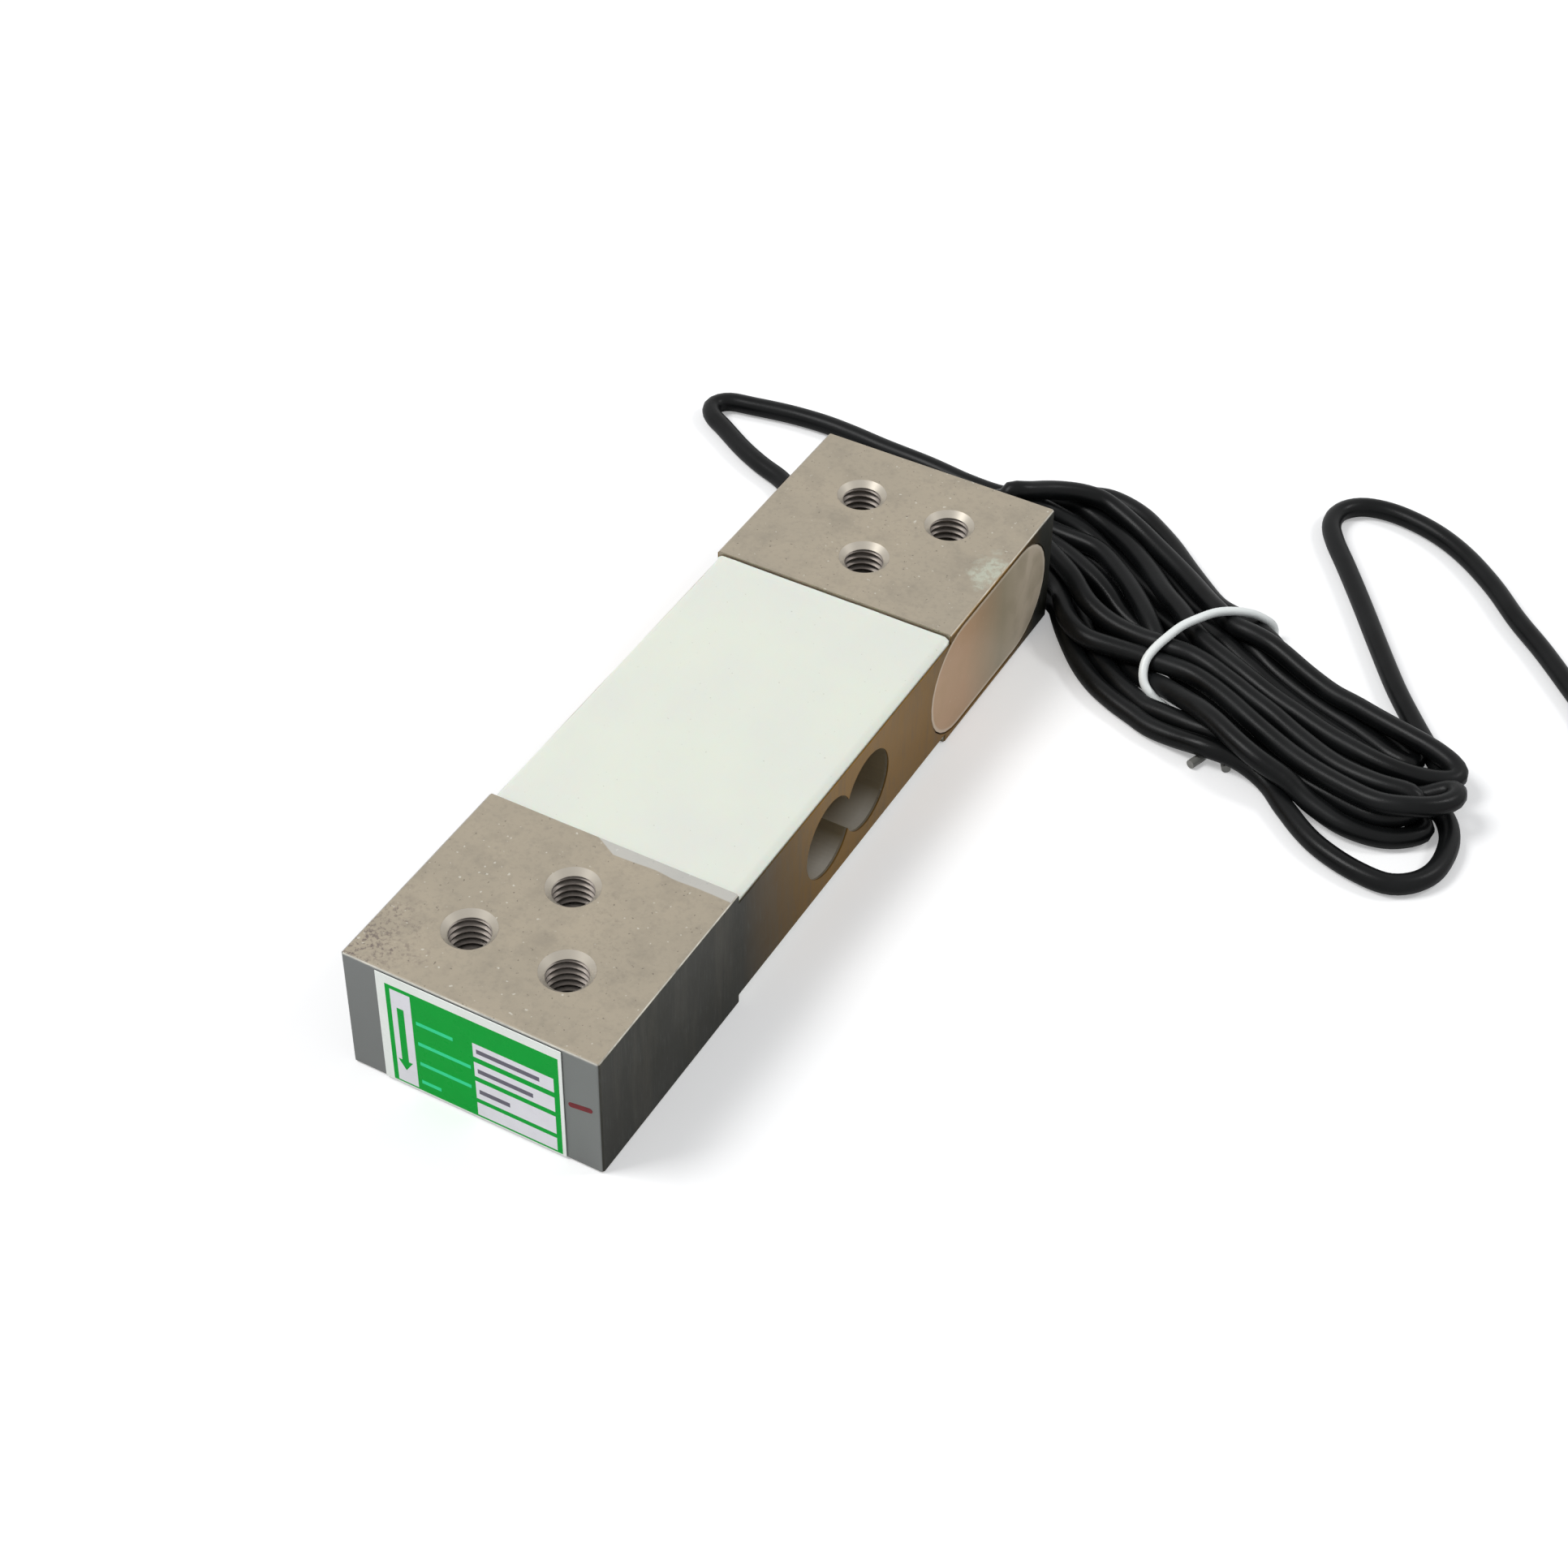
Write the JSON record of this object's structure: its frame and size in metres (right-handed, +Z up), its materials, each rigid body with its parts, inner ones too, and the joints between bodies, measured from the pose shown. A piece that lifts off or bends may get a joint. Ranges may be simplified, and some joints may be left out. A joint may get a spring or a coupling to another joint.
{
  "type": "strain gauge load cell",
  "caption": "Single-point bar load cell: milled beam with overlapping cross bores, tapped end holes, sealed gauges, potted wiring pocket and a tied cable hank.",
  "frame": {"origin": "centre of the beam's underside, on the surface that the beam and its cable lie on", "axes": "+X across the beam towards the potted pocket, +Y along the beam from the labelled load end to the cable end, +Z up"},
  "size_m": [0.2277, 0.2106, 0.024],
  "materials": {
    "milled_aluminium": "milled, with a clear anodised satin surface",
    "white_silicone": "smooth cured silicone",
    "potting_compound": "cast, slightly uneven",
    "gauge_foil": "polyimide film with etched foil",
    "circuit_board": "solder resist",
    "resistor_body": "lacquered",
    "black_sheath": "matt extruded",
    "white_tie": "smooth",
    "label": "printed film",
    "tinned_copper": "tinned",
    "insulation_red": "extruded",
    "insulation_black": "extruded",
    "insulation_green": "extruded",
    "insulation_white": "extruded"
  },
  "bodies": {
    "root": {"beam_body": "milled_aluminium", "top_sealant": "white_silicone", "bottom_sealant": "white_silicone", "gauge_top_near": "gauge_foil", "gauge_top_far": "gauge_foil", "gauge_bottom_near": "gauge_foil", "gauge_bottom_far": "gauge_foil", "top_terminal_strip": "gauge_foil", "bottom_terminal_strip": "gauge_foil", "top_wire_loom": "tinned_copper", "bottom_wire_loom": "tinned_copper", "junction_board": "circuit_board", "span_resistor": "resistor_body", "zero_resistor": "resistor_body", "inner_conductor_red": "insulation_red", "inner_conductor_black": "insulation_black", "inner_conductor_green": "insulation_green", "inner_conductor_white": "insulation_white", "potting_plug": "potting_compound", "end_label": "label", "cable_seal": "black_sheath", "cable_lead": "black_sheath", "cable_hank": "black_sheath", "cable_loop": "black_sheath", "cable_tail": "black_sheath", "cable_tie": "white_tie", "end_sleeve": "black_sheath", "conductor_red": "insulation_red", "conductor_black": "insulation_black", "conductor_green": "insulation_green", "conductor_white": "insulation_white", "shield_drain": "tinned_copper", "tip_red": "tinned_copper", "tip_black": "tinned_copper", "tip_green": "tinned_copper", "tip_white": "tinned_copper"}
  },
  "joints": []
}
